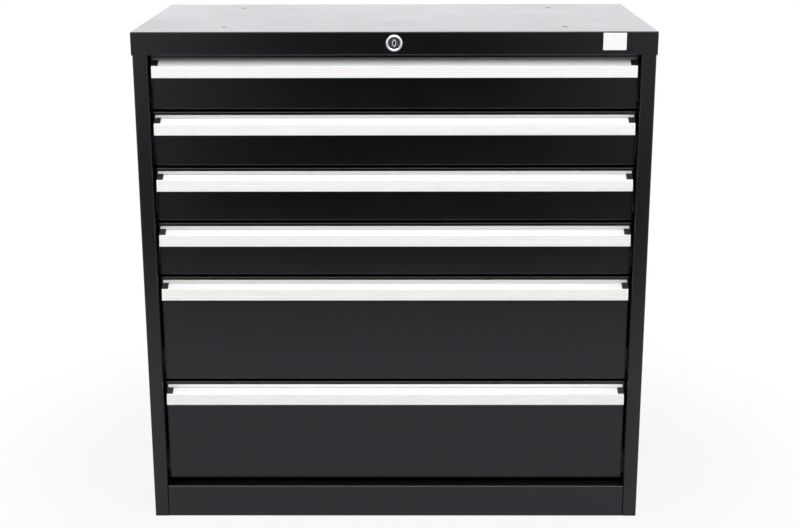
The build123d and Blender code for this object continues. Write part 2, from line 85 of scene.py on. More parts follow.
# Label strip in that channel, in mm: its play at each plug, its upper edge down
# from the upper lip, its tuck under the lower lip, its lift off the channel's
# floor and the chamfer of its cut edges.
STRIP_END_PLAY = 0.2
STRIP_TOP = 2.2
STRIP_TUCK = 0.4
STRIP_LIFT = 0.05
STRIP_CHAMFER = 0.1

# Bright oval round the key slot, in mm: half width and half height of its inner
# edge, then how far beyond that edge and how far off the plug's face each point
# of its profile lies.
KEY_OVAL_INSIDE = (1.95, 4.45)
KEY_OVAL_PROFILE = (
    (0.0, -0.1),
    (0.15, 0.1),
    (0.45, 0.22),
    (0.75, 0.28),
    (1.1, 0.2),
    (1.4, 0.02),
    (1.65, -0.25),
    (1.7, -0.5),
)

# Black lining in the key slot's mouth and black ring round the plug, in mm: half
# width, half height and stand off the plug's face of each point of their profiles.
# Both are painted shade: they stand for the dark slot and the shaded gap round the plug.
KEY_SLOT_SHADE = ((1.0, 3.6, -0.6), (1.0, 3.6, 0.04), (2.0, 4.5, 0.04), (2.0, 4.5, -0.1))
PLUG_GAP_SHADE_RING = (
    (9.3, 9.3, -0.5),
    (9.3, 9.3, -0.1),
    (9.0, 9.0, 0.1),
    (8.2, 8.2, 0.1),
    (7.8, 7.8, -0.5),
)

# Blank plate on the lid's skirt, in mm: its middle is right of the cabinet's
# middle and down from the lid's top.
PLATE_MIDDLE = (376.1, 16.8)
PLATE_CORNER = 0.8
PLATE_THICKNESS = 0.5
PLATE_EDGE = 0.2

# Ball strips of a slide in mm. Each row has its distance up and down from the
# slide's middle, then the distances of its balls and of its strip's edges from
# the wall. A strip stops short of the middle member's end and of its halfway
# point, and its balls stop short of its own ends.
OUTER_BALLS = (19.3, 5.8, 2.2, 9.4)
INNER_BALLS = (14.1, 7.3, 3.8, 10.8)
WALL_TO_MIDDLE_MEMBER = 1.5
BALL_DIAMETER = 3.9
BALL_PITCH = 20.0
BALL_SIDES = 10
BALL_RINGS = 6
BALL_STRIP_HALF_THICKNESS = 0.3
BALL_STRIP_FROM_END = 8
BALL_STRIP_FROM_HALFWAY = 10
FIRST_BALL = 6
LAST_BALL = 4

# Button head screws behind the drawer fronts, in mm: the head's radius, stand
# and number of flats at each step, and the places in from the tray's left and
# right, up from its floor and, in a high tray, down from its top.
SCREW_HEAD = (
    (0, 0.4, 0),
    (1.3, 0.4, 6),
    (1.3, 1.7, 6),
    (1.8, 1.9, 0),
    (2.9, 1.5, 0),
    (3.6, 0.7, 0),
    (3.8, 0.0, 0),
)
SCREW_FROM_LEFT = 40
SCREW_FROM_RIGHT = 60
SCREW_FROM_FLOOR = 18
SCREW_FROM_TOP = 70
HIGH_TRAY = 120
TRAY_SHEET = 1.0

# Blind rivets down each side of the back panel, in mm: the head as above, in
# from the side, up from the foot to the lowest, and from one to the next.
RIVET_HEAD = (
    (0, 0.35, 0),
    (0.9, 0.35, 0),
    (1.0, 1.1, 0),
    (1.7, 1.15, 0),
    (2.6, 0.8, 0),
    (3.2, 0.3, 0),
    (3.3, 0.0, 0),
)
RIVET_ROWS = 8
RIVET_FROM_SIDE = 10
RIVET_FROM_FOOT = 40
RIVET_PITCH = 115

# Half width and half depth in mm of the floor that the cabinet covers, and the
# paper's gap below the cabinet in mm. The paper's reach each way is in metres.
FOOT_HALF = (447.0, 226.0)
PAPER_GAP = 0.2
PAPER_REACH = 9.0

# Camera: focal length and sensor width in mm, place in metres, angles in degrees
CAMERA_LENS = 65.83
CAMERA_SENSOR = 36
CAMERA_PLACE = (0.0218, -2.7293, 1.1993)
CAMERA_LEFT = 0.2872
CAMERA_DOWN = 15.8456
CAMERA_ROLL = -0.108


def linear(hex_colour):
    """Linear RGBA of an sRGB hex colour such as #1a2b3c."""
    digits = hex_colour.lstrip("#")
    channels = [int(digits[place : place + 2], 16) / 255 for place in (0, 2, 4)]
    light = [
        value / 12.92 if value <= 0.04045 else ((value + 0.055) / 1.055) ** 2.4
        for value in channels
    ]
    return (*light, 1.0)


def nodes_with_slot(slot):
    """CAD nodes whose finish is the given material slot of the record."""
    return [part["node"] for part in RECORD["subparts"] if part["material_slot"] == slot]


# Settings that a user would change


class CabinetColours(bpy.types.PropertyGroup):
    """Colours of the cabinet's finishes."""

    coat: bpy.props.FloatVectorProperty(
        name="Powder coat",
        description="Colour of the baked coat on body and drawers",
        subtype="COLOR",
        size=4,
        min=0,
        max=1,
        default=linear("#0b0b0e"),
    )
    aluminium: bpy.props.FloatVectorProperty(
        name="Grip rails",
        description="Colour of the anodised aluminium",
        subtype="COLOR",
        size=4,
        min=0,
        max=1,
        default=linear("#f2f1ee"),
    )
    zinc: bpy.props.FloatVectorProperty(
        name="Zinc plate",
        description="Colour of the plated slides and lock works",
        subtype="COLOR",
        size=4,
        min=0,
        max=1,
        default=linear("#c3c6c9"),
    )
    plug: bpy.props.FloatVectorProperty(
        name="Channel plugs",
        description="Colour of the moulded plugs in the grip rails",
        subtype="COLOR",
        size=4,
        min=0,
        max=1,
        default=linear("#131314"),
    )
    label: bpy.props.FloatVectorProperty(
        name="Labels",
        description="Colour of the blank labels",
        subtype="COLOR",
        size=4,
        min=0,
        max=1,
        default=linear("#f2f3f4"),
    )


class CabinetSizes(bpy.types.PropertyGroup):
    """Sizes of the pieces that this file adds."""

    plate_width: bpy.props.FloatProperty(
        name="Plate width",
        description="Width of the blank plate on the lid's skirt",
        default=39.8 * MM,
        min=10 * MM,
        max=120 * MM,
        unit="LENGTH",
    )
    plate_height: bpy.props.FloatProperty(
        name="Plate height",
        description="Height of the blank plate on the lid's skirt",
        default=29.5 * MM,
        min=8 * MM,
        max=36 * MM,
        unit="LENGTH",
    )
    strip_thickness: bpy.props.FloatProperty(
        name="Label strip",
        description="Thickness of the label strip in each grip rail's channel",
        default=0.8 * MM,
        min=0.3 * MM,
        max=1.4 * MM,
        unit="LENGTH",
    )
    orange_peel: bpy.props.FloatProperty(
        name="Orange peel",
        description="Distance between the waves in the powder coat",
        default=2.4 * MM,
        min=0.5 * MM,
        max=10 * MM,
        unit="LENGTH",
    )


def colours():
    """The colours as the user has set them."""
    return bpy.context.scene.cabinet_colours


def sizes():
    """The sizes as the user has set them."""
    return bpy.context.scene.cabinet_sizes


# Materials

# Almost all of a noise lies between these two values
NOISE_SPAN = {"From Min": 0.3, "From Max": 0.7}


def add_node(tree, kind, inputs=None, **settings):
    """Adds one node, sets its options, and fills or links its inputs.

    An input that is given a node is linked to that node's first output.
    """
    node = tree.nodes.new(kind)
    for name, value in settings.items():
        setattr(node, name, value)
    for name, value in (inputs or {}).items():
        if isinstance(value, bpy.types.Node):
            value = value.outputs[0]
        if isinstance(value, bpy.types.NodeSocket):
            tree.links.new(value, node.inputs[name])
        else:
            node.inputs[name].default_value = value
    return node


def new_material(name):
    """Empty node material and its tree, with the object's own coordinates."""
    material = bpy.data.materials.new(name)
    material.use_nodes = True
    tree = material.node_tree
    tree.nodes.clear()
    place = add_node(tree, "ShaderNodeTexCoord").outputs["Object"]
    return material, tree, place


def cells(*sizes_mm):
    """Scale at which one feature of a pattern has these sizes along X, Y and Z."""
    return Vector(1 / (size * MM) for size in sizes_mm)


def black_powder_coat():
    """Polyester powder, sprayed and baked on steel: semi-gloss, IOR about 1.5.

    The melted powder sets in low waves a few millimetres apart, which the eye
    sees as a faint orange peel in the reflections and a slightly uneven gloss.
    It flows round the sheet's edges, which catch a thin, soft line of light.
    """
    material, tree, place = new_material("black_powder_coat_semi_gloss")
    peel = sizes().orange_peel / MM
    wave_cells = add_node(
        tree, "ShaderNodeMapping", {"Vector": place, "Scale": cells(peel, peel, peel)}
    )
    waves = add_node(
        tree, "ShaderNodeTexNoise", {"Vector": wave_cells, "Scale": 1.0, "Detail": 1.0}
    )
    cloud_cells = add_node(
        tree, "ShaderNodeMapping", {"Vector": place, "Scale": cells(140, 140, 140)}
    )
    clouds = add_node(
        tree, "ShaderNodeTexNoise", {"Vector": cloud_cells, "Scale": 1.0, "Detail": 2.0}
    )
    lightness = add_node(
        tree,
        "ShaderNodeMapRange",
        {"Value": clouds, **NOISE_SPAN, "To Min": 0.86, "To Max": 1.14},
    )
    colour = add_node(
        tree,
        "ShaderNodeVectorMath",
        {0: colours().coat[:3], "Scale": lightness},
        operation="SCALE",
    )
    roughness = add_node(
        tree,
        "ShaderNodeMapRange",
        {"Value": clouds, **NOISE_SPAN, "To Min": 0.15, "To Max": 0.2},
    )
    eased_edges = add_node(tree, "ShaderNodeBevel", {"Radius": 2.5 * MM}, samples=6)
    orange_peel = add_node(
        tree,
        "ShaderNodeBump",
        {"Height": waves, "Distance": 0.012 * MM, "Strength": 0.6, "Normal": eased_edges},
    )
    coat = add_node(
        tree,
        "ShaderNodeBsdfPrincipled",
        {
            "Base Color": colour,
            "Roughness": roughness,
            "IOR": 1.5,
            "Coat Weight": 0.3,
            "Coat Roughness": 0.12,
            "Normal": orange_peel,
        },
    )
    add_node(tree, "ShaderNodeOutputMaterial", {"Surface": coat})
    return material


def satin_anodised_aluminium():
    """Extruded aluminium, etched and clear anodised to a satin white metal.

    The die leaves straight lines along the length, so the gloss is drawn out
    across them. The real lines are finer than 0.1 mm: they are drawn 0.5 mm wide.
    The etched oxide scatters part of the light, so it is not fully metallic.
    """
    material, tree, place = new_material("satin_anodised_aluminium")
    line_cells = add_node(
        tree, "ShaderNodeMapping", {"Vector": place, "Scale": cells(260, 0.5, 0.5)}
    )
    lines = add_node(
        tree, "ShaderNodeTexNoise", {"Vector": line_cells, "Scale": 1.0, "Detail": 2.0}
    )
    band_cells = add_node(
        tree, "ShaderNodeMapping", {"Vector": place, "Scale": cells(600, 4, 4)}
    )
    bands = add_node(
        tree, "ShaderNodeTexNoise", {"Vector": band_cells, "Scale": 1.0, "Detail": 1.0}
    )
    lightness = add_node(
        tree,
        "ShaderNodeMapRange",
        {"Value": lines, **NOISE_SPAN, "To Min": 0.985, "To Max": 1.01},
    )
    colour = add_node(
        tree,
        "ShaderNodeVectorMath",
        {0: colours().aluminium[:3], "Scale": lightness},
        operation="SCALE",
    )
    roughness = add_node(
        tree,
        "ShaderNodeMapRange",
        {"Value": bands, **NOISE_SPAN, "To Min": 0.6, "To Max": 0.68},
    )
    die_lines = add_node(
        tree,
        "ShaderNodeBump",
        {"Height": lines, "Distance": 0.004 * MM, "Strength": 0.5},
    )
    metal = add_node(
        tree,
        "ShaderNodeBsdfPrincipled",
        {
            "Base Color": colour,
            "Metallic": 0.65,
            "Roughness": roughness,
            "Normal": die_lines,
        },
    )
    add_node(tree, "ShaderNodeOutputMaterial", {"Surface": metal})
    return material


def bright_zinc_plate():
    """Cold rolled steel with bright zinc: a slightly bluish, cloudy metal.

    Rolling leaves streaks along the strip and the plating clouds them over. Its
    small crystals scatter part of the light, so it is not fully metallic.
    """
    material, tree, place = new_material("bright_zinc_plated_steel")
    cloud_cells = add_node(
        tree, "ShaderNodeMapping", {"Vector": place, "Scale": cells(14, 14, 14)}
    )
    clouds = add_node(
        tree, "ShaderNodeTexNoise", {"Vector": cloud_cells, "Scale": 1.0, "Detail": 3.0}
    )
    streak_cells = add_node(
        tree, "ShaderNodeMapping", {"Vector": place, "Scale": cells(1.2, 60, 1.2)}
    )
    streaks = add_node(
        tree, "ShaderNodeTexNoise", {"Vector": streak_cells, "Scale": 1.0, "Detail": 2.0}
    )
    lightness = add_node(
        tree,
        "ShaderNodeMapRange",
        {"Value": clouds, **NOISE_SPAN, "To Min": 0.86, "To Max": 1.06},
    )
    colour = add_node(
        tree,
        "ShaderNodeVectorMath",
        {0: colours().zinc[:3], "Scale": lightness},
        operation="SCALE",
    )
    roughness = add_node(
        tree,
        "ShaderNodeMapRange",
        {"Value": clouds, **NOISE_SPAN, "To Min": 0.26, "To Max": 0.42},
    )
    rolled = add_node(
        tree,
        "ShaderNodeBump",
        {"Height": streaks, "Distance": 0.012 * MM, "Strength": 0.4},
    )
    metal = add_node(
        tree,
        "ShaderNodeBsdfPrincipled",
        {
            "Base Color": colour,
            "Metallic": 0.6,
            "Roughness": roughness,
            "Normal": rolled,
        },
    )
    add_node(tree, "ShaderNodeOutputMaterial", {"Surface": metal})
    return material


def moulded_black_polyamide():
    """Injection moulded polyamide with a fine spark-eroded grain: dull black.

    The real grain is about 0.1 mm: it is drawn at 0.4 mm so that it shows.
    """
    material, tree, place = new_material("moulded_black_polyamide")
    grain_cells = add_node(
        tree, "ShaderNodeMapping", {"Vector": place, "Scale": cells(0.4, 0.4, 0.4)}
    )
    grain = add_node(
        tree, "ShaderNodeTexNoise", {"Vector": grain_cells, "Scale": 1.0, "Detail": 2.0}
    )
    lightness = add_node(
        tree,
        "ShaderNodeMapRange",
        {"Value": grain, **NOISE_SPAN, "To Min": 0.8, "To Max": 1.25},
    )
    colour = add_node(
        tree,
        "ShaderNodeVectorMath",
        {0: colours().plug[:3], "Scale": lightness},
        operation="SCALE",
    )
    grained = add_node(
        tree,
        "ShaderNodeBump",
        {"Height": grain, "Distance": 0.02 * MM, "Strength": 0.7},
    )
    plastic = add_node(
        tree,
        "ShaderNodeBsdfPrincipled",
        {"Base Color": colour, "Roughness": 0.46, "IOR": 1.53, "Normal": grained},
    )
    add_node(tree, "ShaderNodeOutputMaterial", {"Surface": plastic})
    return material


def polished_chrome_plate():
    """Nickel and chrome plate on turned zinc alloy: a near mirror.

    Wiping and wear leave faint cloudy patches a few millimetres wide, which
    break up the edges of the reflections.
    """
    material, tree, place = new_material("polished_chrome_plate")
    wear_cells = add_node(
        tree, "ShaderNodeMapping", {"Vector": place, "Scale": cells(5, 5, 5)}
    )
    wear = add_node(
        tree, "ShaderNodeTexNoise", {"Vector": wear_cells, "Scale": 1.0, "Detail": 3.0}
    )
    lightness = add_node(
        tree,
        "ShaderNodeMapRange",
        {"Value": wear, **NOISE_SPAN, "To Min": 0.96, "To Max": 1.02},
    )
    colour = add_node(
        tree,
        "ShaderNodeVectorMath",
        {0: linear("#e6e8ea")[:3], "Scale": lightness},
        operation="SCALE",
    )
    roughness = add_node(
        tree,
        "ShaderNodeMapRange",
        {"Value": wear, **NOISE_SPAN, "To Min": 0.07, "To Max": 0.16},
    )
    worn = add_node(
        tree,
        "ShaderNodeBump",
        {"Height": wear, "Distance": 0.01 * MM, "Strength": 0.2},
    )
    chrome = add_node(
        tree,
        "ShaderNodeBsdfPrincipled",
        {
            "Base Color": colour,
            "Metallic": 1.0,
            "Roughness": roughness,
            "Normal": worn,
        },
    )
    add_node(tree, "ShaderNodeOutputMaterial", {"Surface": chrome})
    return material


def black_nickel_face():
    """Black nickel plate on a die cast plug: a dark, smoky and slightly grey metal.

    The cast skin under the plate is uneven at about a millimetre, which dulls
    and mottles what it mirrors.
    """
    material, tree, place = new_material("black_nickel_plate")
    skin_cells = add_node(
        tree, "ShaderNodeMapping", {"Vector": place, "Scale": cells(0.9, 0.9, 0.9)}
    )
    skin = add_node(
        tree, "ShaderNodeTexNoise", {"Vector": skin_cells, "Scale": 1.0, "Detail": 2.0}
    )
    lightness = add_node(
        tree,
        "ShaderNodeMapRange",
        {"Value": skin, **NOISE_SPAN, "To Min": 0.7, "To Max": 1.25},
    )
    colour = add_node(
        tree,
        "ShaderNodeVectorMath",
        {0: linear("#5a5c60")[:3], "Scale": lightness},
        operation="SCALE",
    )
    roughness = add_node(
        tree,
        "ShaderNodeMapRange",
        {"Value": skin, **NOISE_SPAN, "To Min": 0.42, "To Max": 0.56},
    )
    cast = add_node(
        tree,
        "ShaderNodeBump",
        {"Height": skin, "Distance": 0.01 * MM, "Strength": 0.4},
    )
    nickel = add_node(
        tree,
        "ShaderNodeBsdfPrincipled",
        {
            "Base Color": colour,
            "Metallic": 1.0,
            "Roughness": roughness,
            "Normal": cast,
        },
    )
    add_node(tree, "ShaderNodeOutputMaterial", {"Surface": nickel})
    return material


def natural_nylon():
    """Unpigmented moulded nylon: milky, waxy and slightly yellow.

    It cools unevenly in the mould, which leaves soft clouds about 6 mm wide.
    """
    material, tree, place = new_material("natural_moulded_nylon")
    cloud_cells = add_node(
        tree, "ShaderNodeMapping", {"Vector": place, "Scale": cells(6, 6, 6)}
    )
    clouds = add_node(
        tree, "ShaderNodeTexNoise", {"Vector": cloud_cells, "Scale": 1.0, "Detail": 2.0}
    )
    lightness = add_node(
        tree,
        "ShaderNodeMapRange",
        {"Value": clouds, **NOISE_SPAN, "To Min": 0.94, "To Max": 1.04},
    )
    colour = add_node(
        tree,
        "ShaderNodeVectorMath",
        {0: linear("#ddd8c8")[:3], "Scale": lightness},
        operation="SCALE",
    )
    nylon = add_node(
        tree,
        "ShaderNodeBsdfPrincipled",
        {"Base Color": colour, "Roughness": 0.38, "IOR": 1.53},
    )
    add_node(tree, "ShaderNodeOutputMaterial", {"Surface": nylon})
    return material


def white_label_vinyl():
    """Cast vinyl film with a satin face, as blank equipment labels have.

    The soft film lies in very low waves about a centimetre apart.
    """
    material, tree, place = new_material("white_satin_label_vinyl")
    wave_cells = add_node(
        tree, "ShaderNodeMapping", {"Vector": place, "Scale": cells(9, 9, 9)}
    )
    waves = add_node(
        tree, "ShaderNodeTexNoise", {"Vector": wave_cells, "Scale": 1.0, "Detail": 2.0}
    )
    lightness = add_node(
        tree,
        "ShaderNodeMapRange",
        {"Value": waves, **NOISE_SPAN, "To Min": 0.985, "To Max": 1.01},
    )
    colour = add_node(
        tree,
        "ShaderNodeVectorMath",
        {0: colours().label[:3], "Scale": lightness},
        operation="SCALE",
    )
    wavy = add_node(
        tree,
        "ShaderNodeBump",
        {"Height": waves, "Distance": 0.05 * MM, "Strength": 0.2},
    )
    vinyl = add_node(
        tree,
        "ShaderNodeBsdfPrincipled",
        {"Base Color": colour, "Roughness": 0.32, "IOR": 1.5, "Normal": wavy},
    )
    add_node(tree, "ShaderNodeOutputMaterial", {"Surface": vinyl})
    return material


MAKERS = {
    "black_powder_coat": black_powder_coat,
    "anodised_aluminium": satin_anodised_aluminium,
    "zinc_plated_steel": bright_zinc_plate,
    "black_plastic": moulded_black_polyamide,
    "chrome": polished_chrome_plate,
    "black_lock_face": black_nickel_face,
    "natural_nylon": natural_nylon,
    "label": white_label_vinyl,
}
MADE = {}


def finish_of(slot):
    """The material of a slot, made the first time it is asked for."""
    if slot not in MADE:
        MADE[slot] = MAKERS[slot]()
    return MADE[slot]


def dress(node_name, slot):
    """Gives a CAD node its finish."""
    node = frame["nodes"][node_name]
    node.data.materials.clear()
    node.data.materials.append(finish_of(slot))


# Mesh helpers

# Steepest turn in degrees between two faces that are shaded as one round
ROUND_ANGLE = 32


def new_piece(name, mesh_maker, body, slot):
    """Builds a piece in mesh code, gives it its finish and lets it ride."""
    shape = bmesh.new()
    mesh_maker(shape)
    bmesh.ops.recalc_face_normals(shape, faces=shape.faces)
    mesh = bpy.data.meshes.new(name)
    shape.to_mesh(mesh)
    shape.free()
    mesh.materials.append(finish_of(slot))
    piece = bpy.data.objects.new(name, mesh)
    bpy.context.scene.collection.objects.link(piece)
    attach(piece, body)
    return piece


def add_loop_solid(shape, outline, start, end):
    """Prism whose outline gives corners as functions of the two end values."""
    front = [shape.verts.new(point) for point in outline(start)]
    back = [shape.verts.new(point) for point in outline(end)]
    shape.faces.new(front)
    shape.faces.new(back[::-1])
    for index in range(len(front)):
        after = (index + 1) % len(front)
        shape.faces.new((front[index], back[index], back[after], front[after]))


def new_ring(name, middle, profile_mm, body, slot, steps=48):
    """Closed ring facing the front: each profile point is half width, half height, stand."""

    def build(shape):
        loops = []
        for step in range(steps):
            angle = 2 * math.pi * step / steps
            loops.append(
                [
                    shape.verts.new(
                        (
                            middle.x + wide * MM * math.cos(angle),
                            middle.y - stand * MM,
                            middle.z + tall * MM * math.sin(angle),
                        )
                    )
                    for wide, tall, stand in profile_mm
                ]
            )
        for step in range(steps):
            here, after = loops[step], loops[(step + 1) % steps]
            for index in range(len(profile_mm)):
                then = (index + 1) % len(profile_mm)
                shape.faces.new((here[index], here[then], after[then], after[index]))

    smooth_rounds(new_piece(name, build, body, slot))


def add_turned(shape, place, facing, profile_mm, steps=24):
    """Turned head: each profile point is radius, stand and its number of flats."""
    turn = Vector(facing).to_track_quat("Z", "Y").to_matrix()
    rings = []
    for radius, stand, flats in profile_mm:
        ring = []
        for step in range(steps if radius else 1):
            angle = 2 * math.pi * step / steps
            reach = radius * MM
            if flats:
                side = 2 * math.pi / flats
                reach *= math.cos(side / 2) / math.cos(angle % side - side / 2)
            point = (reach * math.cos(angle), reach * math.sin(angle), stand * MM)
            ring.append(shape.verts.new(place + turn @ Vector(point)))
        rings.append(ring)
    for first, second in zip(rings, rings[1:]):
        for step in range(steps):
            turns = ((first, step), (first, step + 1), (second, step + 1), (second, step))
            corners = [ring[spot % len(ring)] for ring, spot in turns]
            shape.faces.new(dict.fromkeys(corners))


def add_block(shape, low, high):
    """Closed bar between two corners."""

    def ring(x):
        return [(x, low.y, low.z), (x, high.y, low.z), (x, high.y, high.z), (x, low.y, high.z)]

    add_loop_solid(shape, ring, low.x, high.x)


def smooth_rounds(piece):
    """Shades the rounds of a piece smooth and keeps its corners crisp."""
    for face in piece.data.polygons:
        face.use_smooth = True
    piece.data.set_sharp_from_angle(angle=math.radians(ROUND_ANGLE))


def channel_place(low, high, along, out):
    """Y and Z of a point in a grip rail's channel, from the rail's own box.

    The place is measured down the slope from the upper lip and out from it.
    """
    y = high.y - CHANNEL_TOP[0] * MM - along * CHANNEL_RUN[0] - out * CHANNEL_RUN[1]
    z = low.z + CHANNEL_TOP[1] * MM - along * CHANNEL_RUN[1] + out * CHANNEL_RUN[0]
    return y, z


def rounded_rectangle(low, high, radius, steps=5):
    """Corner points of a rectangle in a plane, with rounded corners."""
    corners = (
        (high[0] - radius, high[1] - radius, 0),
        (low[0] + radius, high[1] - radius, 90),
        (low[0] + radius, low[1] + radius, 180),
        (high[0] - radius, low[1] + radius, 270),
    )
    points = []
    for x, z, start in corners:
        for step in range(steps + 1):
            angle = math.radians(start + 90 * step / steps)
            points.append((x + radius * math.cos(angle), z + radius * math.sin(angle)))
    return points


# Pieces


class CABINET_OT_steel_body(bpy.types.Operator):
    """Powder coats the lid, the body panels, the plinth and the uprights"""

    bl_idname = "cabinet.steel_body"
    bl_label = "Steel body"

    def execute(self, context):
        for name in nodes_with_slot("black_powder_coat"):
            if not name.startswith("drawer_"):
                dress(name, "black_powder_coat")
        return {"FINISHED"}


class CABINET_OT_drawer_shells(bpy.types.Operator):
    """Powder coats the drawers' fronts and trays"""

    bl_idname = "cabinet.drawer_shells"
    bl_label = "Drawer fronts and trays"

    def execute(self, context):
        for name in nodes_with_slot("black_powder_coat"):
            if name.startswith("drawer_"):
                dress(name, "black_powder_coat")
        return {"FINISHED"}


class CABINET_OT_grip_rails(bpy.types.Operator):
    """Finishes the aluminium grip rails and their plugs"""

    bl_idname = "cabinet.grip_rails"
    bl_label = "Grip rails"

    def execute(self, context):
        for slot in ("anodised_aluminium", "black_plastic"):
            for name in nodes_with_slot(slot):
                dress(name, slot)
        return {"FINISHED"}


class CABINET_OT_slides(bpy.types.Operator):
    """Finishes the telescopic slides"""

    bl_idname = "cabinet.slides"
    bl_label = "Slides"

    def execute(self, context):
        for name in nodes_with_slot("zinc_plated_steel"):
            if "slide" in name:
                dress(name, "zinc_plated_steel")
        return {"FINISHED"}


class CABINET_OT_lock_works(bpy.types.Operator):
    """Finishes the lock, its cam, link, bar and guides"""

    bl_idname = "cabinet.lock_works"
    bl_label = "Lock"

    def execute(self, context):
        for slot in ("zinc_plated_steel", "chrome", "black_lock_face", "natural_nylon"):
            for name in nodes_with_slot(slot):
                if name.startswith("lock_"):
                    dress(name, slot)
        return {"FINISHED"}


class CABINET_OT_label_strips(bpy.types.Operator):
    """Slides a blank white strip into each grip rail's channel"""

    bl_idname = "cabinet.label_strips"
    bl_label = "Label strips"

    def execute(self, context):
        for drawer in DRAWERS:
            self.make_strip(drawer)
        return {"FINISHED"}

    def make_strip(self, drawer):
        """One strip that lies on the channel's floor, between its plugs."""
        low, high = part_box(f"{drawer}_handle")
        half = high.x - (PLUG_LENGTH + STRIP_END_PLAY) * MM
        top = STRIP_TOP * MM
        foot = (CHANNEL_SPAN + STRIP_TUCK) * MM
        back = -(CHANNEL_DEPTH - STRIP_LIFT) * MM
        face = back + sizes().strip_thickness
        corners = [
            channel_place(low, high, along, out)
            for along, out in ((top, back), (foot, back), (foot, face), (top, face))
        ]

        def ring(x):
            return [(x, y, z) for y, z in corners]

        def build(shape):
            add_loop_solid(shape, ring, -half, half)

        strip = new_piece(f"{drawer}_label_strip", build, drawer, "label")
        bevel = strip.modifiers.new("cut_edge", "BEVEL")
        bevel.width = STRIP_CHAMFER * MM
        bevel.segments = 1


class CABINET_OT_key_entry(bpy.types.Operator):
    """Makes the key slot's bright oval, and the black rings of painted shade in the slot's mouth
    and round the plug
    """

    bl_idname = "cabinet.key_entry"
    bl_label = "Key entry"

    def execute(self, context):
        low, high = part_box("lock_plug")
        middle = Vector((0, low.y, (low.z + high.z) / 2))
        half_width, half_height = KEY_OVAL_INSIDE
        oval = [
            (half_width + beyond, half_height + beyond, stand)
            for beyond, stand in KEY_OVAL_PROFILE
        ]
        new_ring("key_entry_oval", middle, oval, "lock_plug", "chrome")
        # Painted shade: a black lining darkens the key slot's mouth out to the bright oval
        new_ring("key_slot_painted_shade", middle, KEY_SLOT_SHADE, "lock_plug", "black_plastic")
        # Painted shade: a black ring on the plug's face stands for the shaded gap between plug and
        # barrel
        new_ring("plug_gap_painted_shade", middle, PLUG_GAP_SHADE_RING, "lock_plug", "black_plastic")
        return {"FINISHED"}


class CABINET_OT_blank_plate(bpy.types.Operator):
    """Makes the blank plate at the right of the lid's skirt"""

    bl_idname = "cabinet.blank_plate"
    bl_label = "Blank plate"

    def execute(self, context):
        low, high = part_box("top_cap")
        middle_x = PLATE_MIDDLE[0] * MM
        middle_z = high.z - PLATE_MIDDLE[1] * MM
        half = Vector((sizes().plate_width / 2, sizes().plate_height / 2))
        outline = rounded_rectangle(
            (middle_x - half.x, middle_z - half.y),
            (middle_x + half.x, middle_z + half.y),
            PLATE_CORNER * MM,
        )

        def ring(y):
            return [(x, y, z) for x, z in outline]

        def build(shape):
            add_loop_solid(shape, ring, low.y - PLATE_THICKNESS * MM, low.y)

        plate = new_piece("blank_plate", build, "cabinet", "label")
        bevel = plate.modifiers.new("soft_edge", "BEVEL")
        bevel.width = PLATE_EDGE * MM
        bevel.segments = 2
        return {"FINISHED"}


class CABINET_OT_ball_strips(bpy.types.Operator):
    """Makes the strips of steel balls that the slides' members run on"""

    bl_idname = "cabinet.ball_strips"
    bl_label = "Ball strips"

    def execute(self, context):
        for drawer in DRAWERS:
            self.make_strips(drawer)
        return {"FINISHED"}

    def make_strips(self, drawer):
        """All eight strips of a drawer's two slides."""
        low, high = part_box(f"{drawer}_slide_mid")
        wall = high.x + WALL_TO_MIDDLE_MEMBER * MM
        middle = (low.z + high.z) / 2
        halfway = (low.y + high.y) / 2
        from_end = BALL_STRIP_FROM_END * MM
        from_halfway = BALL_STRIP_FROM_HALFWAY * MM

        def build(shape):
            rows = (
                (OUTER_BALLS, halfway + from_halfway, high.y - from_end),
                (INNER_BALLS, low.y + from_end, halfway - from_halfway),
            )
            for (away, ball, near, far), start, end in rows:
                for side in (-1, 1):
                    for level in (middle - away * MM, middle + away * MM):
                        self.add_row(shape, side, wall, level, (ball, near, far), start, end)

        piece = new_piece(f"{drawer}_ball_strips", build, f"{drawer}_mid", "zinc_plated_steel")
        smooth_rounds(piece)

    def add_row(self, shape, side, wall, level, places, start, end):
        """One thin strip with its balls, between two members' flanges."""
        ball, near, far = (side * (wall - place * MM) for place in places)
        thin = BALL_STRIP_HALF_THICKNESS * MM
        add_block(
            shape,
            Vector((min(near, far), start, level - thin)),
            Vector((max(near, far), end, level + thin)),
        )
        half = BALL_DIAMETER / 2
        outline = []
        for step in range(BALL_RINGS + 1):
            turn = math.pi * step / BALL_RINGS
            outline.append((round(half * math.sin(turn), 4), half * math.cos(turn), 0))
        y = start + FIRST_BALL * MM
        while y < end - LAST_BALL * MM:
            add_turned(shape, Vector((ball, y, level)), (0, 0, 1), outline, BALL_SIDES)
            y += BALL_PITCH * MM


class CABINET_OT_screws(bpy.types.Operator):
    """Makes the button head screws that hold each front to its tray"""

    bl_idname = "cabinet.screws"
    bl_label = "Front screws"

    def execute(self, context):
        for drawer in DRAWERS:
            self.make_screws(drawer)
        return {"FINISHED"}

    def make_screws(self, drawer):
        """Four screws in a low tray, and two rows of four in a high one."""
        low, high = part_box(f"{drawer}_tray")
        inside = low.y + TRAY_SHEET * MM
        left = low.x + SCREW_FROM_LEFT * MM
        right = high.x - SCREW_FROM_RIGHT * MM
        levels = [low.z + SCREW_FROM_FLOOR * MM]
        if high.z - low.z > HIGH_TRAY * MM:
            levels.append(high.z - SCREW_FROM_TOP * MM)

        def build(shape):
            for x in (left, low.x / 3, high.x / 3, right):
                for level in levels:
                    add_turned(shape, Vector((x, inside, level)), (0, 1, 0), SCREW_HEAD)

        smooth_rounds(new_piece(f"{drawer}_screws", build, drawer, "zinc_plated_steel"))


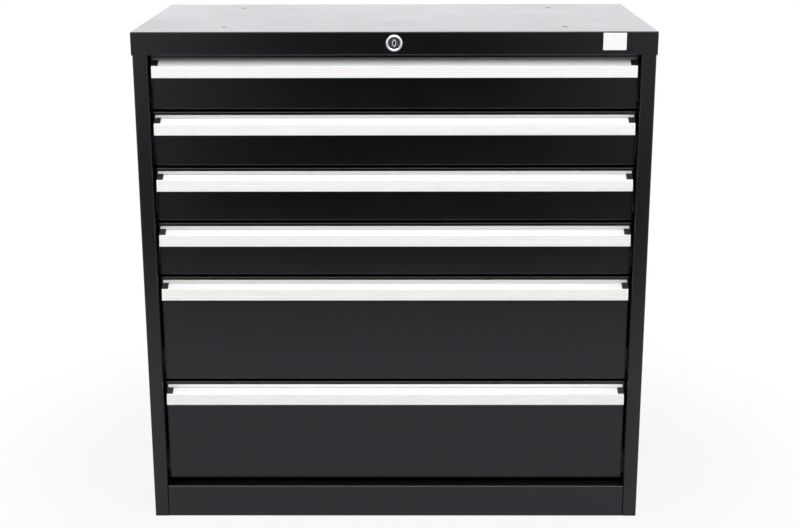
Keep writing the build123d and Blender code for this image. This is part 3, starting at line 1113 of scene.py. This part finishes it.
class CABINET_OT_rivets(bpy.types.Operator):
    """Makes the blind rivets that hold the back panel to the side panels"""

    bl_idname = "cabinet.rivets"
    bl_label = "Rivets"

    def execute(self, context):
        low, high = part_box("side_panel_left")
        flange = -low.x - RIVET_FROM_SIDE * MM

        def build(shape):
            for x in (-flange, flange):
                for row in range(RIVET_ROWS):
                    level = low.z + (RIVET_FROM_FOOT + RIVET_PITCH * row) * MM
                    add_turned(shape, Vector((x, high.y, level)), (0, 1, 0), RIVET_HEAD)

        smooth_rounds(new_piece("back_rivets", build, "cabinet", "zinc_plated_steel"))
        return {"FINISHED"}


# Stage


class CABINET_OT_stage(bpy.types.Operator):
    """Sets the white floor, the studio light and the camera"""

    bl_idname = "cabinet.stage"
    bl_label = "Floor, light and camera"

    def execute(self, context):
        self.make_floor()
        self.make_world(context.scene)
        self.make_lamps()
        self.make_camera(context.scene)
        context.scene.view_settings.view_transform = "Standard"
        return {"FINISHED"}

    def make_floor(self):
        """White paper that glows a little by itself, but not under the cabinet.

        The camera sees it nearly white, with a faint shadow round the cabinet.
        What the steel mirrors is dim far in front of the cabinet's middle, and
        brighter near the cabinet and to the sides. Other light meets plain paper.
        """
        material, tree, place = new_material("white_paper_floor")
        path = add_node(tree, "ShaderNodeLightPath").outputs
        apart = add_node(tree, "ShaderNodeSeparateXYZ", {"Vector": place}).outputs
        aside = add_node(tree, "ShaderNodeMath", {0: apart["X"]}, operation="ABSOLUTE")
        deep = add_node(tree, "ShaderNodeMath", {0: apart["Y"]}, operation="ABSOLUTE")
        paper = add_node(tree, "ShaderNodeBsdfDiffuse", {"Color": linear("#cfcfcf")})

        # 1 outside the cabinet's foot, 0 under it
        beside = add_node(
            tree,
            "ShaderNodeMath",
            {0: aside, 1: FOOT_HALF[0] * MM},
            operation="GREATER_THAN",
        )
        beyond = add_node(
            tree,
            "ShaderNodeMath",
            {0: deep, 1: FOOT_HALF[1] * MM},
            operation="GREATER_THAN",
        )
        open_floor = add_node(
            tree, "ShaderNodeMath", {0: beside, 1: beyond}, operation="MAXIMUM"
        )

        # What the camera sees: the shadow fades out between 0.5 and 1.1 m away
        glow = add_node(tree, "ShaderNodeEmission", {"Strength": 1.0})
        away = add_node(tree, "ShaderNodeVectorMath", {0: place}, operation="LENGTH")
        shadowed = add_node(
            tree,
            "ShaderNodeMapRange",
            {"Value": away.outputs["Value"], "From Min": 1.1, "From Max": 0.5, "To Max": 0.14},
            interpolation_type="SMOOTHSTEP",
        )
        white = add_node(tree, "ShaderNodeMixShader", {0: shadowed, 1: glow, 2: paper})
        in_view = add_node(
            tree,
            "ShaderNodeMath",
            {0: path["Is Camera Ray"], 1: open_floor},
            operation="MULTIPLY",
        )
        seen = add_node(tree, "ShaderNodeMixShader", {0: in_view, 1: paper, 2: white})

        # What reflections see: dim far in front, brighter near and to the sides
        near = add_node(
            tree,
            "ShaderNodeMapRange",
            {"Value": apart["Y"], "From Min": -2.6, "From Max": -0.9, "To Max": 0.84},
            interpolation_type="SMOOTHSTEP",
        )
        side = add_node(
            tree,
            "ShaderNodeMapRange",
            {"Value": aside, "From Min": 0.35, "From Max": 2.1, "To Max": 0.95},
            interpolation_type="SMOOTHSTEP",
        )
        lit = add_node(tree, "ShaderNodeMath", {0: near, 1: side}, operation="ADD", use_clamp=True)
        fade = add_node(
            tree, "ShaderNodeMapRange", {"Value": lit, "To Min": 0.056, "To Max": 0.717}
        )
        mirrored = add_node(
            tree, "ShaderNodeEmission", {"Color": linear("#f3f5ff"), "Strength": fade}
        )
        in_gloss = add_node(
            tree,
            "ShaderNodeMath",
            {0: path["Is Glossy Ray"], 1: open_floor},
            operation="MULTIPLY",
        )
        shine = add_node(tree, "ShaderNodeMixShader", {0: in_gloss, 1: seen, 2: mirrored})
        add_node(tree, "ShaderNodeOutputMaterial", {"Surface": shine})

        shape = bmesh.new()
        bmesh.ops.create_grid(shape, x_segments=8, y_segments=8, size=PAPER_REACH)
        bmesh.ops.translate(shape, verts=shape.verts, vec=(0, 0, CAD_BOX[0].z - PAPER_GAP * MM))
        mesh = bpy.data.meshes.new("floor")
        shape.to_mesh(mesh)
        shape.free()
        mesh.materials.append(material)
        floor = bpy.data.objects.new("floor", mesh)
        bpy.context.scene.collection.objects.link(floor)

    def make_world(self, scene):
        """White backdrop, with the darker end of the studio behind the camera."""
        world = bpy.data.worlds.new("studio")
        world.use_nodes = True
        tree = world.node_tree
        tree.nodes.clear()
        path = add_node(tree, "ShaderNodeLightPath").outputs
        direction = add_node(tree, "ShaderNodeTexCoord").outputs["Generated"]
        apart = add_node(tree, "ShaderNodeSeparateXYZ", {"Vector": direction}).outputs
        aside = add_node(tree, "ShaderNodeMath", {0: apart["X"]}, operation="ABSOLUTE")

        # What reflections see: bright to the sides, behind the cabinet and above
        rises = ((aside, 0.05, 0.45), (apart["Y"], -0.25, 0.2), (apart["Z"], 0.12, 0.6))
        to_side, to_back, to_top = (
            add_node(
                tree,
                "ShaderNodeMapRange",
                {"Value": value, "From Min": start, "From Max": end},
                interpolation_type="SMOOTHSTEP",
            )
            for value, start, end in rises
        )
        level = add_node(tree, "ShaderNodeMath", {0: to_side, 1: to_back}, operation="MAXIMUM")
        lit = add_node(tree, "ShaderNodeMath", {0: level, 1: to_top}, operation="MAXIMUM")
        studio = add_node(
            tree, "ShaderNodeMapRange", {"Value": lit, "To Min": 0.05, "To Max": 1.28}
        )
        mirrored = add_node(
            tree, "ShaderNodeBackground", {"Color": linear("#fbfcff"), "Strength": studio}
        )

        around = add_node(
            tree, "ShaderNodeBackground", {"Color": linear("#ffffff"), "Strength": 0.64}
        )
        white = add_node(
            tree, "ShaderNodeBackground", {"Color": linear("#ffffff"), "Strength": 1.0}
        )
        glossy = add_node(
            tree,
            "ShaderNodeMixShader",
            {0: path["Is Glossy Ray"], 1: around, 2: mirrored},
        )
        clear = add_node(
            tree,
            "ShaderNodeMath",
            {0: path["Is Camera Ray"], 1: path["Is Transmission Ray"]},
            operation="MAXIMUM",
        )
        seen = add_node(tree, "ShaderNodeMixShader", {0: clear, 1: glossy, 2: white})
        add_node(tree, "ShaderNodeOutputWorld", {"Surface": seen})
        scene.world = world

    def make_lamps(self):
        """A soft box overhead and one at each side of the camera."""
        for name, place, aim, size, radiance in (
            ("overhead", (0, -1.6, 3.3), (0, -0.1, 0.7), (4.4, 2.4), 2.65),
            ("front_left", (-2.7, -2.9, 1.7), (0, 0, 0.5), (1.6, 2.4), 0.7),
            ("front_right", (2.7, -2.9, 1.7), (0, 0, 0.5), (1.6, 2.4), 0.7),
        ):
            lamp = bpy.data.lights.new(name, "AREA")
            lamp.shape = "RECTANGLE"
            lamp.size, lamp.size_y = size
            lamp.energy = radiance * math.pi * size[0] * size[1]
            lamp_object = bpy.data.objects.new(name, lamp)
            lamp_object.location = place
            lamp_object.rotation_mode = "QUATERNION"
            lamp_object.rotation_quaternion = (Vector(aim) - Vector(place)).to_track_quat("-Z", "Y")
            bpy.context.scene.collection.objects.link(lamp_object)

    def make_camera(self, scene):
        """Solved from the lid's corners, the body's edges and the plinth's line."""
        lens = bpy.data.cameras.new("camera")
        lens.sensor_width = CAMERA_SENSOR
        lens.lens = CAMERA_LENS
        camera = bpy.data.objects.new("camera", lens)
        turn = (
            Matrix.Rotation(math.radians(CAMERA_LEFT), 4, "Z")
            @ Matrix.Rotation(math.radians(90 - CAMERA_DOWN), 4, "X")
            @ Matrix.Rotation(math.radians(CAMERA_ROLL), 4, "Z")
        )
        camera.matrix_world = Matrix.Translation(CAMERA_PLACE) @ turn
        scene.collection.objects.link(camera)
        scene.camera = camera


class CABINET_PT_panel(bpy.types.Panel):
    """Lists the cabinet's colours, sizes and pieces"""

    bl_idname = "CABINET_PT_panel"
    bl_label = "Steel tool cabinet"
    bl_space_type = "VIEW_3D"
    bl_region_type = "UI"
    bl_category = "Cabinet"

    def draw(self, context):
        column = self.layout.column()
        for group in (context.scene.cabinet_colours, context.scene.cabinet_sizes):
            for name in group.__annotations__:
                column.prop(group, name)
        for operator in STEPS:
            column.operator(operator.bl_idname)


STEPS = (
    CABINET_OT_steel_body,
    CABINET_OT_drawer_shells,
    CABINET_OT_grip_rails,
    CABINET_OT_slides,
    CABINET_OT_lock_works,
    CABINET_OT_label_strips,
    CABINET_OT_key_entry,
    CABINET_OT_blank_plate,
    CABINET_OT_ball_strips,
    CABINET_OT_screws,
    CABINET_OT_rivets,
    CABINET_OT_stage,
)
CLASSES = (CabinetColours, CabinetSizes, *STEPS, CABINET_PT_panel)


def register():
    for each in CLASSES:
        bpy.utils.register_class(each)
    bpy.types.Scene.cabinet_colours = bpy.props.PointerProperty(type=CabinetColours)
    bpy.types.Scene.cabinet_sizes = bpy.props.PointerProperty(type=CabinetSizes)


def unregister():
    del bpy.types.Scene.cabinet_colours
    del bpy.types.Scene.cabinet_sizes
    for each in reversed(CLASSES):
        bpy.utils.unregister_class(each)


def main():
    """Makes every piece in turn."""
    register()
    for step in STEPS:
        group, name = step.bl_idname.split(".")
        getattr(getattr(bpy.ops, group), name)()


if __name__ == "__main__":
    main()
